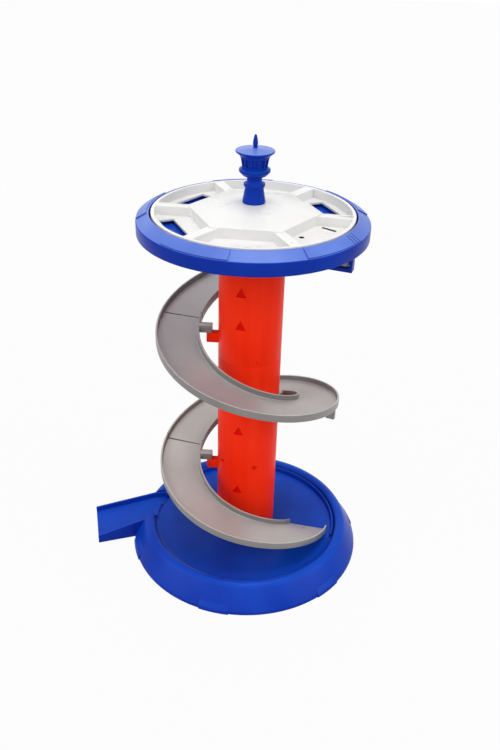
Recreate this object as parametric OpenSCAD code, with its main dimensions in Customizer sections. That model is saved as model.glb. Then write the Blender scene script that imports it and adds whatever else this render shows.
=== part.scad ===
// Toy spiral ramp tower: a round base with an exit chute, a hollow column of half shells,
// three helical ramp pieces and a round deck that carries a turning tray with a control tower knob.
// Millimetres, +Z up, origin on the column axis at the surface that the base stands on.

/* [Base] */
// Radius of the skirt where the base stands
base_r = 125; // [122:0.5:135]
// Height of the round floor that the lane runs over
floor_z = 20; // [18:0.5:24]
// Radius of the round floor
floor_r = 95.5; // [94:0.5:97]
// Height of the rim crest above the floor
rim_h = 8.5; // [7:0.5:12]
// Width of the rim from the floor edge to its crest
rim_w = 10.5; // [9:0.5:12]
// Wall of the base moulding
base_wall = 2.4; // [2:0.1:3]
// Width of the flat ring under the skirt
foot_w = 6; // [4:0.5:9]
// Number of foot lugs round the skirt
lug_count = 6; // [3:1:8]
// Angle that one foot lug covers
lug_span = 14.5; // [8:0.5:20]
// Height of a foot lug
lug_h = 7; // [5:0.5:12]
// How far a foot lug stands out of the skirt
lug_out = 1.2; // [1:0.1:2.5]

/* [Exit chute] */
// Heading of the chute, counted from +X
chute_heading = 192.6; // [185:0.1:198]
// Sideways distance from the column axis to the chute's centre line
chute_offset = 38.2; // [34:0.2:42]
// Outside width of the chute where it leaves the base
chute_mouth_w = 40; // [37:0.5:44]
// Outside width of the chute at its far end
chute_end_w = 52; // [48:0.5:56]
// Distance from the column axis to the far end
chute_reach = 165; // [150:1:180]
// Height of the chute floor at the far end
chute_end_z = 3.5; // [3:0.5:6]
// Height of the chute walls above its floor
chute_wall_h = 6; // [5:0.5:8]
// Thickness of the chute walls and floor
chute_wall = 2.2; // [1.8:0.1:2.8]

/* [Column] */
// Outside radius of the column
column_r = 31.5; // [29:0.25:33]
// Wall of the column shells
column_wall = 2.5; // [2:0.1:3]
// Heading of the seam between the front and back shells
seam_heading = -20; // [-24:1:-16]
// Height of the joint between the lower and upper shells
column_joint_z = 237; // [230:1:240]
// Length of the spigot that joins the lower and upper shells
spigot_l = 18; // [14:1:20]
// Width of a recessed arrow on the front shells
arrow_w = 11; // [9:0.5:13]
// Depth of a recessed arrow
arrow_depth = 1; // [0.8:0.1:1.4]
// Sideways distance of the shell screws from the column axis
shell_screw_x = 18; // [16:0.5:19]

/* [Ramps] */
// Inside radius of the ramp lane's inner wall
ramp_in_r = 50; // [48:0.5:52]
// Overall width of the ramp lane
ramp_w = 43; // [38:0.2:43.6]
// Fall of the ramp in one turn
ramp_pitch = 155; // [152:0.5:160]
// Thickness of the ramp floor
ramp_floor_t = 2; // [1.6:0.1:2.6]
// Thickness of the ramp walls
ramp_wall_t = 2; // [1.6:0.1:2.6]
// Height of the ramp walls above the lane
ramp_wall_h = 6; // [5:0.5:8]
// Angle where the upper ramp starts
ramp_start = -26; // [-30:1:-25]
// Angle of the first joint between ramp pieces
ramp_joint = 164; // [158:1:165]
// Angle of the ramp's lower end, counted on from the first turn
ramp_end = 708; // [704:1:712]
// Height of the foot under the ramp's lower end
ramp_foot_h = 3; // [2:0.1:4]
// How much the lane runs flatter in front and steeper behind
ramp_swing = 1.75; // [0:0.25:4]
// Extra fall at the ramp's lower end
ramp_dip = 10.5; // [0:0.25:12]

/* [Ramp supports] */
// Angle of the support on the left side of the column
left_support = 177; // [172:1:184]
// Angle of the support on the right side of the column
right_support = 45; // [40:1:50]
// Width of a support stub on the column
stub_w = 9; // [8:0.5:11]
// Height of a support stub
stub_h = 10; // [7.5:0.5:11]
// Radius where a support stub ends
stub_end_r = 43; // [42.5:0.25:45]
// Radius where a ramp tab starts
tab_in_r = 37.5; // [36:0.5:38]
// Radius of the locating pin under a ramp tab
pin_r = 2; // [1.6:0.1:2.4]
// Length of the locating pin
pin_l = 5.5; // [4:0.5:6]

/* [Deck] */
// Height of the deck ring's lower edge
deck_z = 365.3; // [360:0.5:372]
// Outside radius of the deck ring
deck_r = 107; // [104:0.5:112]
// Height of the deck ring's upright side
deck_side_h = 12.3; // [10:0.1:15]
// Height of the bevel above the side
deck_bevel_h = 6.4; // [5:0.1:8]
// Wall of the deck moulding
deck_wall = 2.5; // [2:0.1:3]
// Gap between the deck ring and the tray
tray_gap = 1.8; // [1:0.1:2.4]
// Number of raised panels round the bevel
panel_count = 5; // [3:1:6]
// Angle that one raised panel covers
panel_span = 36; // [24:1:44]
// How far a raised panel stands out of the bevel
panel_out = 0.9; // [0.5:0.1:1.5]

/* [Ramp hanger] */
// Heading of the bracket that carries the ramp's upper end
hanger_heading = -20; // [-22:1:-18]
// Width of the bracket
hanger_w = 9; // [8:0.5:12]
// Thickness of the bracket's posts and shelf
hanger_t = 3; // [2.4:0.1:3.4]

/* [Tray] */
// Outside radius of the tray
tray_r = 93; // [91:0.5:95]
// Height of the tray's bay floors above the deck floor
bay_lift = 5; // [4:0.25:6]
// Height of the tray rim above the bay floors
tray_rim_h = 8.4; // [6:0.2:10]
// Thickness of the tray rim
tray_rim_w = 3; // [2.4:0.1:4]
// Wall of the tray moulding
tray_wall = 2; // [1.6:0.1:2.4]
// Radius of the six-sided table to its corners
table_r = 61; // [57:0.5:64]
// Height of the table's edge above the bay floors
table_edge_h = 9.5; // [8:0.25:11]
// Rise of the table from its edge to the knob
table_rise = 6.9; // [4:0.1:9]
// Width of the walls between the bays
divider_w = 10; // [8:0.5:13]
// Width of the window in each bay floor
window_w = 14; // [10:0.5:18]
// Length of the window in each bay floor
window_l = 50; // [40:1:52]
// Width of the slit at the end of the closed flap
flap_slit = 1.4; // [1:0.1:2]
// Radius of the finger hole in the closed flap
flap_hole_r = 1.5; // [1:0.1:2]
// Heading of the first table corner
table_heading = -7; // [-12:1:0]

/* [Control tower knob] */
// Radius of the knob's shaft
shaft_r = 6; // [5:0.25:7]
// Radius of the stem's foot
stem_foot_r = 10.5; // [10:0.25:12]
// Height of the stem with its balcony
stem_h = 31.4; // [28:0.2:36]
// Radius of the balcony
balcony_r = 14.1; // [13:0.1:16]
// Height of the cab
cab_h = 10.6; // [8:0.2:14]
// Radius of the roof
roof_r = 17.5; // [16.5:0.1:20]
// Height of the roof and its spire
roof_h = 18.4; // [15:0.2:22]
// Number of window posts round the cab
cab_posts = 12; // [8:1:16]

/* [Fits] */
// Clearance round parts that slide together
slip = 0.1; // [0.05:0.05:0.2]
// Clearance round the turning shaft
running = 0.06; // [0.03:0.01:0.1]
// Shank radius of the screws
screw_r = 1.4; // [1.2:0.1:1.5]

/* [Hidden] */
$fn = 64;

blue = "#1f3fb5";
red = "#e0301c";
grey = "#9a948f";
white = "#f4f2ef";
steel = "#b8bcc0";

eps = 0.01;
over = 1;
turn = 360;
sweep_step = 4;

rim_z = floor_z + rim_h;
rim_r = floor_r + rim_w;
first_lug = 16;
rib_count = 6;
rib_t = 2;
rib_in_r = 26;
rib_foot_z = floor_z / 3;
centre_foot_r = 6;
head_seat_z = floor_z - base_wall + 0.4;
crest_w = 7;
crest_h = 6;
crest_z = rim_z - crest_h;
skirt_lean = 0.4;
skirt_h = 3;
groove_r = floor_r + 5;
groove_z = rim_z - 4;
ridge_z = rim_z - 2.4;
ridge_w = 1.8;

chute_start = floor_r - 30;
chute_seam_r = floor_r + 2;
chute_lap = 3;
chute_sill = 0.3;
chute_flare = atan2((chute_end_w - chute_mouth_w) / 2, chute_reach - floor_r);

ramp_out_r = ramp_in_r + ramp_w;
ramp_end_z = floor_z + ramp_foot_h + ramp_floor_t;
lower_joint = ramp_joint + turn;
swing_heading = 273;
dip_span = 85;
joint_gap = 0.2;
tongue_l = 7;
tongue_root = 4;
tongue_t = 1.9;
tongue_in_r = ramp_in_r + 8;
tongue_out_r = ramp_out_r - 8;
seat_gap = 0.1;
tab_w = stub_w - 1;
pin_at_r = (tab_in_r + stub_end_r) / 2;
end_screw_back = 9.5;
end_screw_at_r = (ramp_in_r + ramp_out_r) / 2 - 1;
end_screw_l = 6;
end_head_h = 1.4;
end_head_sunk = 0.6;
end_boss_r = 4;
end_foot_span = 2;
end_foot_inset = 6;
clip_back = 369;
clip_span = 4;
clip_w = 9;
clip_h = 10;

column_in_r = column_r - column_wall;
seam_gap = 0.2;
foot_pad_h = 2;
boss_r = 4.2;
boss_inset = 3.5;
boss_at_r = column_in_r - boss_inset;
boss_l = 16;
pilot_l = 13;
screw_head_r = 2.4;
screw_head_h = 2.2;
shell_boss_r = 4.4;
shell_head_sunk = 6.3;
shell_face_y = shell_chord(column_r);
shell_head_y = shell_face_y - shell_head_sunk;
shell_screw_l = shell_head_y - screw_head_h + pilot_l - 0.3;
lower_screw_z = [116, 205];
upper_screw_z = [336];
arrow_x = 1.6;
arrow_h = 10;
lower_arrow_z = [87, 162, 196];
upper_arrow_z = [282, 316];
snap_r = 2.2;
snap_z = column_joint_z + 5;
snap_sunk = 0.9;
spigot_wall = 2.4;
spigot_root = 6;

deck_floor_z = deck_z + 3.2;
deck_floor_t = deck_wall;
deck_floor_top = deck_floor_z + deck_floor_t;
deck_in_r = tray_r + tray_gap;
deck_top_z = deck_z + deck_side_h + deck_bevel_h;
collar_h = 8;
collar_t = 3;
first_panel = 313.25;
bearing_wall = 4;
bearing_drop = 8.5;
bearing_top = deck_floor_top + 3;

hanger_top_z = deck_floor_z;
hanger_half_span = asin(hanger_w / 2 / ramp_in_r);
hanger_shelf_top = floor_top(hanger_heading + hanger_half_span) - ramp_floor_t - 2 * seat_gap;
hanger_side_gap = 0.5;
hanger_in_r = ramp_in_r - hanger_side_gap - hanger_t;
hanger_out_r = ramp_out_r + hanger_side_gap + hanger_t;
hanger_pad_l = 11;
hanger_boss_r = 3.4;
hanger_boss_l = 9;
hanger_screw_in = hanger_in_r - 2.5;
hanger_screw_out = hanger_out_r - 7;

bay_floor_z = deck_floor_top + bay_lift;
tray_under_z = bay_floor_z - tray_wall;
tray_rim_z = bay_floor_z + tray_rim_h;
table_edge_z = bay_floor_z + table_edge_h;
table_top_z = table_edge_z + table_rise;
table_flat_r = stem_foot_r + 2;
hub_r = shaft_r + bearing_wall;
hub_foot_z = bearing_top + 0.3;
window_mid = (table_r * cos(30) + tray_r - tray_rim_w) / 2 + 4;
flap_bay = 5;
flap_slit_in = 9;
flap_hole_in = 16.2;
flap_hole_side = 8.3;
key_r = 1.4;
key_at_r = 8.3;
key_l = 3;

shaft_foot_z = deck_floor_z - bearing_drop - 0.4;
washer_r = 9;
washer_t = 1.4;
pivot_head_r = 3.6;
pivot_head_h = 2.4;
pivot_shank_r = 1.9;
pivot_shank_l = 12;
cab_z = table_top_z + stem_h;
cab_foot_r = 11.4;
cab_top_r = 13.3;
roof_z = cab_z + cab_h;
cab_peg_r = 5;
cab_peg_h = 4;

// Share of the extra fall that is done at an angle along the helix
function dip_done(a) = pow(max(0, (a - ramp_end + dip_span) / dip_span), 2);

// Height of the lane's floor at an angle along the helix
function floor_top(a) =
    ramp_end_z + (ramp_end - a) * ramp_pitch / turn
    + ramp_swing * (sin(a - swing_heading) - sin(ramp_end - swing_heading))
    + ramp_dip * (1 - dip_done(a));

// Points of an arc in the radius and height plane
function arc(r, z, ar, az, a0, a1, n = 8) =
    [for (i = [0 : n]) let (a = a0 + (a1 - a0) * i / n) [r + ar * cos(a), z + az * sin(a)]];

// U section of the lane, with its floor top at height 0
function lane_section() = [
    [ramp_in_r, -ramp_floor_t],
    [ramp_out_r, -ramp_floor_t],
    [ramp_out_r, ramp_wall_h],
    [ramp_out_r - ramp_wall_t, ramp_wall_h],
    [ramp_out_r - ramp_wall_t, 0],
    [ramp_in_r + ramp_wall_t, 0],
    [ramp_in_r + ramp_wall_t, ramp_wall_h],
    [ramp_in_r, ramp_wall_h]
];

// Section of a flat strip under the lane
function strip_section(r0, r1, z0, z1) = [[r0, z0], [r1, z0], [r1, z1], [r0, z1]];

// Sweeps a section, listed anticlockwise, down the helix from one angle to another
module helix_sweep(section, from, to) {
    n = len(section);
    steps = ceil((to - from) / sweep_step);
    points = [
        for (i = [0 : steps]) let (a = from + (to - from) * i / steps)
            for (p = section) [p[0] * cos(a), p[0] * sin(a), floor_top(a) + p[1]]
    ];
    sides = [
        for (i = [0 : steps - 1]) for (j = [0 : n - 1])
            let (k = (j + 1) % n)
                each [
                    [i * n + j, i * n + k, (i + 1) * n + k],
                    [i * n + j, (i + 1) * n + k, (i + 1) * n + j]
                ]
    ];
    first_cap = [[for (j = [n - 1 : -1 : 0]) j]];
    last_cap = [[for (j = [0 : n - 1]) steps * n + j]];
    polyhedron(points, concat(sides, first_cap, last_cap), convexity = 6);
}

// Ring sector between two radii, from one angle to another
module sector(r0, r1, z0, z1, from, to) {
    rotate([0, 0, from])
        rotate_extrude(angle = to - from)
            translate([r0, z0]) square([r1 - r0, z1 - z0]);
}

// Screw with a round head, pointing down, with the underside of its head at height 0
module screw(shank, length, head_r, head_h) {
    union() {
        translate([0, 0, -length]) cylinder(r = shank, h = length + eps);
        cylinder(r = head_r, h = head_h);
    }
}

// Plan of the exit chute, wider at its far end
module chute_plan(grow) {
    far = chute_end_w / 2 + grow;
    near = far - (chute_reach - chute_start) * tan(chute_flare);
    reach = chute_reach + grow;
    translate([0, -chute_offset])
        polygon([[chute_start, -near], [reach, -far], [reach, far], [chute_start, near]]);
}

// Side view of the exit chute between two heights above its floor
module chute_side(low, high) {
    polygon([
        [chute_start, floor_z + low],
        [floor_r, floor_z + low],
        [chute_reach, chute_end_z + low],
        [chute_reach, chute_end_z + high],
        [floor_r, floor_z + high],
        [chute_start, floor_z + high]
    ]);
}

module chute_layer(low, high) {
    translate([0, chute_reach, 0])
        rotate([90, 0, 0])
            linear_extrude(2 * chute_reach) chute_side(low, high);
}

// Half section of the base: flat foot, flared skirt, round crest, step, ridge and floor
function base_outline() = concat(
    [[base_r - foot_w, 0], [base_r, 0], [base_r - skirt_lean, skirt_h]],
    arc(rim_r, crest_z, crest_w, crest_h, 20, 130),
    [
        [groove_r + 0.4, groove_z],
        [groove_r - 0.4, groove_z],
        [groove_r - 0.8, ridge_z],
        [groove_r - 0.8 - ridge_w, ridge_z],
        [floor_r, floor_z],
        [0, floor_z],
        [0, floor_z - base_wall],
        [floor_r + base_wall / 2, floor_z - base_wall],
        [groove_r - 0.8 - base_wall / 2, groove_z - base_wall],
        [groove_r + base_wall / 2, groove_z - base_wall]
    ],
    arc(rim_r, crest_z, crest_w - base_wall, crest_h - base_wall, 110, 20),
    [[base_r - skirt_lean - base_wall, skirt_h], [base_r - foot_w, base_wall]]
);

module base_shell() {
    color(blue) difference() {
        union() {
            rotate_extrude($fn = 128) polygon(base_outline());
            cylinder(r = column_in_r - slip, h = floor_z + foot_pad_h);
            for (i = [0 : lug_count - 1])
                let (mid = first_lug + i * turn / lug_count)
                    sector(base_r - 5, base_r + lug_out, 0, lug_h, mid - lug_span / 2, mid + lug_span / 2);
            for (i = [0 : rib_count - 1])
                rotate([0, 0, i * turn / rib_count])
                    translate([rib_in_r, -rib_t / 2, rib_foot_z])
                        cube([floor_r - rib_in_r, rib_t, floor_z - rib_foot_z - base_wall / 2]);
            end_boss();
        }
        base_hollow();
        chute_mouth();
        for (side = [-1, 1]) base_screw_place(side) {
            cylinder(r = screw_r + slip, h = 3 * floor_z, center = true);
            translate([0, 0, -over]) cylinder(r = screw_head_r + 2 * slip, h = head_seat_z + over);
        }
        end_screw_place() translate([0, 0, -floor_z]) cylinder(r = screw_r, h = floor_z);
    }
}

// Hollow round the centre foot, left open so that the base screws can be driven from below
module base_hollow() {
    height = floor_z - base_wall + over;
    translate([0, 0, -over]) difference() {
        cylinder(r = column_in_r - slip - base_wall, h = height);
        cylinder(r = centre_foot_r, h = height);
    }
}

// Gap in the rim and skirt that the exit chute fills
module chute_mouth() {
    rotate([0, 0, chute_heading]) {
        difference() {
            translate([0, 0, -over]) linear_extrude(rim_z + 2 * over) chute_plan(2 * slip);
            translate([0, 0, -2 * over]) cylinder(r = chute_seam_r, h = rim_z + 4 * over);
        }
        difference() {
            translate([0, 0, floor_z - chute_sill]) linear_extrude(rim_z) chute_plan(2 * slip);
            translate([0, 0, -over]) cylinder(r = floor_r - chute_lap, h = 3 * rim_z);
        }
    }
}

// Open channel that falls from the base floor to the surface
module exit_chute() {
    inner = chute_wall / cos(chute_flare);
    color(blue) rotate([0, 0, chute_heading]) difference() {
        intersection() {
            linear_extrude(rim_z + 3 * over) chute_plan(0);
            chute_layer(-2 * floor_z, chute_wall_h);
        }
        intersection() {
            translate([0, 0, -over]) linear_extrude(3 * rim_z) chute_plan(-inner);
            chute_layer(0, 3 * rim_z);
        }
        intersection() {
            translate([0, 0, -over]) linear_extrude(3 * rim_z) chute_plan(-inner);
            chute_layer(-3 * rim_z, -chute_wall);
        }
        intersection() {
            translate([0, 0, -over]) linear_extrude(3 * rim_z) translate([inner + eps, 0]) chute_plan(-inner);
            chute_layer(0, 3 * rim_z);
        }
        translate([0, 0, -over]) cylinder(r = chute_seam_r + 2 * slip, h = 3 * rim_z);
    }
}

module base_screw_place(side) {
    rotate([0, 0, seam_heading]) translate([0, side * boss_at_r, 0]) children();
}

module base_screws() {
    color(steel) for (side = [-1, 1])
        base_screw_place(side) translate([0, 0, head_seat_z]) mirror([0, 0, 1])
            screw(screw_r, floor_z + foot_pad_h + pilot_l - over - head_seat_z, screw_head_r, screw_head_h);
}

// Half of a column tube with an outside radius, a wall and two heights; side -1 is the front half
module half_tube(r, wall, z0, z1, side) {
    rotate([0, 0, seam_heading]) intersection() {
        difference() {
            translate([0, 0, z0]) cylinder(r = r, h = z1 - z0);
            translate([0, 0, z0 - over]) cylinder(r = r - wall, h = z1 - z0 + 2 * over);
        }
        translate([-2 * r, side > 0 ? seam_gap / 2 : -4 * r - seam_gap / 2, z0])
            cube([4 * r, 4 * r, z1 - z0]);
    }
}

// Upright screw boss on the inside of a shell, at the column's foot or head
module end_column_boss(z0, side) {
    rotate([0, 0, seam_heading]) translate([0, side * boss_at_r, z0]) cylinder(r = boss_r, h = boss_l);
}

// Place of a shell screw, looking from the front towards the back
module shell_screw_place(z, x) {
    rotate([0, 0, seam_heading]) translate([x, 0, z]) rotate([90, 0, 0]) children();
}

// Distance from the seam plane to a round wall, at the shell screws
function shell_chord(r) = sqrt(r * r - shell_screw_x * shell_screw_x);

// Bosses inside a half shell that the shell screws pass through
module shell_bosses(heights, side) {
    reach = shell_face_y - column_wall / 2;
    for (z = heights) for (x = [-shell_screw_x, shell_screw_x]) intersection() {
        shell_screw_place(z, x)
            translate([0, 0, side > 0 ? -reach : seam_gap / 2])
                cylinder(r = shell_boss_r, h = reach - seam_gap / 2);
        translate([0, 0, z - 2 * shell_boss_r]) cylinder(r = column_r - column_wall / 2, h = 4 * shell_boss_r);
    }
}

// Holes for the shell screws: a sunk seat and a clear hole in front, a pilot hole behind
module shell_holes(heights, side) {
    for (z = heights) for (x = [-shell_screw_x, shell_screw_x])
        shell_screw_place(z, x)
            if (side > 0) {
                translate([0, 0, -pilot_l]) cylinder(r = screw_r + slip / 2, h = pilot_l + over);
            } else {
                translate([0, 0, -over]) cylinder(r = screw_r + slip, h = column_r);
                translate([0, 0, shell_head_y - screw_head_h]) cylinder(r = screw_head_r + slip, h = column_r);
            }
}

// Recessed arrows that point up the front of the column
module arrows(heights) {
    for (z = heights)
        rotate([0, 0, seam_heading]) translate([arrow_x, -column_r + arrow_depth, z]) rotate([90, 0, 0])
            linear_extrude(2 * arrow_depth)
                polygon([[-arrow_w / 2, -arrow_h / 2], [arrow_w / 2, -arrow_h / 2], [0, arrow_h / 2]]);
}

// Stub on the column with a socket for a ramp's locating pin
module stub(a) {
    z = tab_foot(a) - seat_gap;
    rotate([0, 0, a]) difference() {
        translate([column_r - column_wall / 2, -stub_w / 2, z - stub_h])
            cube([stub_end_r - column_r + column_wall / 2, stub_w, stub_h]);
        translate([pin_at_r, 0, z - pin_l - 0.5]) cylinder(r = pin_r + slip, h = pin_l + over);
    }
}

// Spigot half at the top of the lower column, which the upper column slides over
module spigot(side) {
    foot = column_joint_z - spigot_root;
    half_tube(column_in_r - slip, spigot_wall, foot, column_joint_z + spigot_l, side);
    half_tube(column_in_r + column_wall / 2, spigot_wall, foot, column_joint_z - over, side);
}

module column_lower(side) {
    difference() {
        union() {
            half_tube(column_r, column_wall, floor_z, column_joint_z, side);
            spigot(side);
            end_column_boss(floor_z + foot_pad_h, side);
            shell_bosses(lower_screw_z, side);
        }
        base_screw_place(side) translate([0, 0, floor_z]) cylinder(r = screw_r + slip / 2, h = foot_pad_h + pilot_l + over);
        shell_holes(lower_screw_z, side);
        if (side < 0) arrows(lower_arrow_z);
    }
}

module column_lower_front() {
    snap_foot = shell_chord(column_in_r - slip - spigot_wall / 2);
    color(red) union() {
        column_lower(-1);
        stub(left_support + turn);
        shell_screw_place(snap_z, shell_screw_x)
            translate([0, 0, snap_foot]) cylinder(r = snap_r, h = shell_face_y - snap_sunk - snap_foot);
    }
}

module column_lower_back() {
    color(red) union() {
        column_lower(1);
        stub(right_support + turn);
    }
}

module column_upper(side) {
    difference() {
        union() {
            half_tube(column_r, column_wall, column_joint_z, deck_floor_z, side);
            end_column_boss(deck_floor_z - foot_pad_h - boss_l, side);
            shell_bosses(upper_screw_z, side);
        }
        base_screw_place(side) translate([0, 0, deck_floor_z - foot_pad_h - pilot_l - over])
            cylinder(r = screw_r + slip / 2, h = foot_pad_h + pilot_l + over);
        shell_holes(upper_screw_z, side);
        if (side < 0) arrows(upper_arrow_z);
        shell_screw_place(snap_z, shell_screw_x) cylinder(r = snap_r + slip, h = column_r);
    }
}

module column_upper_front() {
    color(red) union() {
        column_upper(-1);
        stub(left_support);
    }
}

module column_upper_back() {
    color(red) union() {
        column_upper(1);
        stub(right_support);
    }
}

module column_screws() {
    color(steel) for (z = concat(lower_screw_z, upper_screw_z)) for (x = [-shell_screw_x, shell_screw_x])
        shell_screw_place(z, x) translate([0, 0, shell_head_y - screw_head_h])
            screw(screw_r, shell_screw_l, screw_head_r, screw_head_h);
}

// Height of the underside of a ramp tab
function tab_foot(a) = floor_top(a) - ramp_floor_t;

// Tab on the inner wall of a ramp, with a pin that drops into a stub
module ramp_tab(a) {
    rotate([0, 0, a]) {
        translate([tab_in_r, -tab_w / 2, tab_foot(a)])
            cube([ramp_in_r - tab_in_r + ramp_wall_t / 2, tab_w, ramp_floor_t + ramp_wall_h]);
        translate([pin_at_r, 0, tab_foot(a) - pin_l]) cylinder(r = pin_r, h = pin_l + over);
    }
}

// Tongue at the uphill end of a ramp piece, which slides under the piece before it
module tongue(a) {
    top = -ramp_floor_t - joint_gap;
    foot = top - tongue_t;
    helix_sweep(strip_section(tongue_in_r, tongue_out_r, foot, top), a - tongue_l, a + tongue_root);
    helix_sweep(strip_section(tongue_in_r + 1, tongue_out_r - 1, foot + tongue_t / 2, -ramp_floor_t / 2),
        a + 0.4, a + tongue_root - 0.4);
}

module upper_ramp() {
    color(grey) union() {
        helix_sweep(lane_section(), ramp_start, ramp_joint - joint_gap);
        ramp_tab(right_support);
    }
}

module middle_ramp() {
    color(grey) union() {
        helix_sweep(lane_section(), ramp_joint, lower_joint - joint_gap);
        tongue(ramp_joint);
        ramp_tab(left_support);
        ramp_tab(right_support + turn);
        ramp_clip(ramp_end - clip_back);
    }
}

// Small clip under the outer edge of a ramp
module ramp_clip(a) {
    rotate([0, 0, a])
        translate([ramp_out_r - clip_w, -clip_span / 2, floor_top(a) - ramp_floor_t - clip_h])
            cube([clip_w - slip, clip_span, clip_h + ramp_floor_t / 2]);
}

module lower_ramp() {
    color(grey) difference() {
        union() {
            helix_sweep(lane_section(), lower_joint, ramp_end);
            tongue(lower_joint);
            ramp_tab(left_support + turn);
            sector(ramp_in_r + end_foot_inset, ramp_out_r - end_foot_inset,
                floor_z, ramp_end_z - ramp_floor_t / 2, ramp_end - end_foot_span, ramp_end - joint_gap);
        }
        end_screw_place() {
            translate([0, 0, -end_head_sunk]) cylinder(r = screw_head_r + slip, h = ramp_wall_h);
            translate([0, 0, -ramp_wall_h]) cylinder(r = screw_r + slip, h = 2 * ramp_wall_h);
        }
    }
}

// Place of the screw near the ramp's lower end, at the height of the lane
module end_screw_place() {
    a = ramp_end - end_screw_back;
    rotate([0, 0, a]) translate([end_screw_at_r, 0, floor_top(a)]) children();
}

// Boss on the base floor that the ramp's lower end is screwed to
module end_boss() {
    a = ramp_end - end_screw_back;
    half_span = asin(end_boss_r / end_screw_at_r);
    top = floor_top(a + half_span) - ramp_floor_t - joint_gap;
    rotate([0, 0, a]) translate([end_screw_at_r, 0, floor_z - base_wall / 2])
        cylinder(r = end_boss_r, h = top - floor_z + base_wall / 2);
}

module ramp_end_screw() {
    color(steel) end_screw_place() translate([0, 0, -end_head_sunk])
        screw(screw_r - slip, end_screw_l, screw_head_r, end_head_h);
}

// Half section of the deck ring and floor
function deck_outline() = [
    [deck_r - deck_wall, deck_z],
    [deck_r, deck_z],
    [deck_r, deck_z + deck_side_h],
    [deck_in_r + 1, deck_top_z],
    [deck_in_r, deck_top_z],
    [deck_in_r, deck_floor_top],
    [0, deck_floor_top],
    [0, deck_floor_z],
    [deck_in_r + deck_wall, deck_floor_z],
    [deck_in_r + deck_wall, deck_top_z - deck_wall - 1.4],
    [deck_r - deck_wall, deck_z + deck_side_h - 1.4]
];

// Raised panel on the bevel of the deck ring
module deck_panel(mid) {
    slope = atan2(deck_bevel_h, deck_r - deck_in_r - 1);
    length = norm([deck_bevel_h, deck_r - deck_in_r - 1]);
    margin = 1.1;
    rotate([0, 0, mid - panel_span / 2]) rotate_extrude(angle = panel_span, $fn = 128)
        translate([deck_r, deck_z + deck_side_h]) rotate(180 - slope)
            translate([margin, -panel_out]) square([length - 2 * margin, 2 * panel_out]);
}

module deck() {
    color(blue) difference() {
        union() {
            rotate_extrude($fn = 128) polygon(deck_outline());
            translate([0, 0, deck_floor_z - foot_pad_h]) cylinder(r = column_in_r - slip, h = foot_pad_h + eps);
            translate([0, 0, deck_floor_z - bearing_drop])
                cylinder(r = hub_r, h = bearing_top - deck_floor_z + bearing_drop);
            deck_collar();
            for (i = [0 : panel_count - 1]) deck_panel(first_panel + i * turn / panel_count);
        }
        translate([0, 0, deck_z - deck_floor_t - bearing_drop])
            cylinder(r = shaft_r + running, h = 4 * bearing_drop);
        for (side = [-1, 1]) base_screw_place(side)
            translate([0, 0, deck_floor_z - 2 * foot_pad_h]) cylinder(r = screw_r + slip, h = 4 * foot_pad_h);
        for (r = [hanger_screw_in, hanger_screw_out]) hanger_screw_place(r)
            translate([0, 0, deck_floor_z - over]) cylinder(r = screw_r + slip, h = deck_floor_t + 2 * over);
    }
}

// Collar under the deck that keeps the top of the column round
module deck_collar() {
    translate([0, 0, deck_floor_z - collar_h]) difference() {
        cylinder(r = column_r + slip + collar_t, h = collar_h + eps);
        translate([0, 0, -over]) cylinder(r = column_r + slip, h = collar_h + over);
    }
}

module deck_screws() {
    color(steel) for (side = [-1, 1])
        base_screw_place(side) translate([0, 0, deck_floor_top])
            screw(screw_r, deck_floor_t + foot_pad_h + pilot_l - over, screw_head_r, screw_head_h);
}

module hanger_screw_place(r) {
    rotate([0, 0, hanger_heading]) translate([r, 0, 0]) children();
}

// Bracket under the deck that carries the upper end of the ramp
module ramp_hanger() {
    post_h = hanger_top_z - hanger_shelf_top + hanger_t;
    post_z = hanger_shelf_top - hanger_t;
    color(blue) difference() {
        rotate([0, 0, hanger_heading]) union() {
            translate([hanger_in_r, -hanger_w / 2, post_z]) cube([hanger_t, hanger_w, post_h]);
            translate([hanger_out_r - hanger_t, -hanger_w / 2, post_z]) cube([hanger_t, hanger_w, post_h]);
            translate([hanger_in_r, -hanger_w / 2, post_z]) cube([hanger_out_r - hanger_in_r, hanger_w, hanger_t]);
            translate([hanger_in_r - hanger_pad_l / 2, -hanger_w / 2, hanger_top_z - hanger_t])
                cube([hanger_pad_l / 2 + hanger_t, hanger_w, hanger_t]);
            translate([hanger_out_r - hanger_pad_l, -hanger_w / 2, hanger_top_z - hanger_t])
                cube([hanger_pad_l, hanger_w, hanger_t]);
            for (r = [hanger_screw_in, hanger_screw_out])
                translate([r, 0, hanger_top_z - hanger_boss_l]) cylinder(r = hanger_boss_r, h = hanger_boss_l);
        }
        for (r = [hanger_screw_in, hanger_screw_out]) hanger_screw_place(r)
            translate([0, 0, hanger_top_z - hanger_boss_l + over]) cylinder(r = screw_r + slip / 2, h = hanger_boss_l);
    }
}

module hanger_screws() {
    color(steel) for (r = [hanger_screw_in, hanger_screw_out])
        hanger_screw_place(r) translate([0, 0, deck_floor_top])
            screw(screw_r, deck_floor_t + hanger_boss_l - 2 * over, screw_head_r, screw_head_h);
}

// Six-sided table with a shallow peak, shrunk all round by an inset
module table_solid(inset, foot, cap) {
    r = table_r - inset / cos(30);
    edge = table_edge_z - cap;
    translate([0, 0, foot]) cylinder(r = r, h = edge - foot, $fn = 6);
    translate([0, 0, edge]) cylinder(r1 = r, r2 = table_flat_r, h = table_rise, $fn = 6);
}

// Cut for the open window in a bay floor
module bay_window() {
    translate([-window_w / 2, -window_l / 2, 0]) cube([window_w, window_l, tray_wall + 2 * over]);
}

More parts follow.
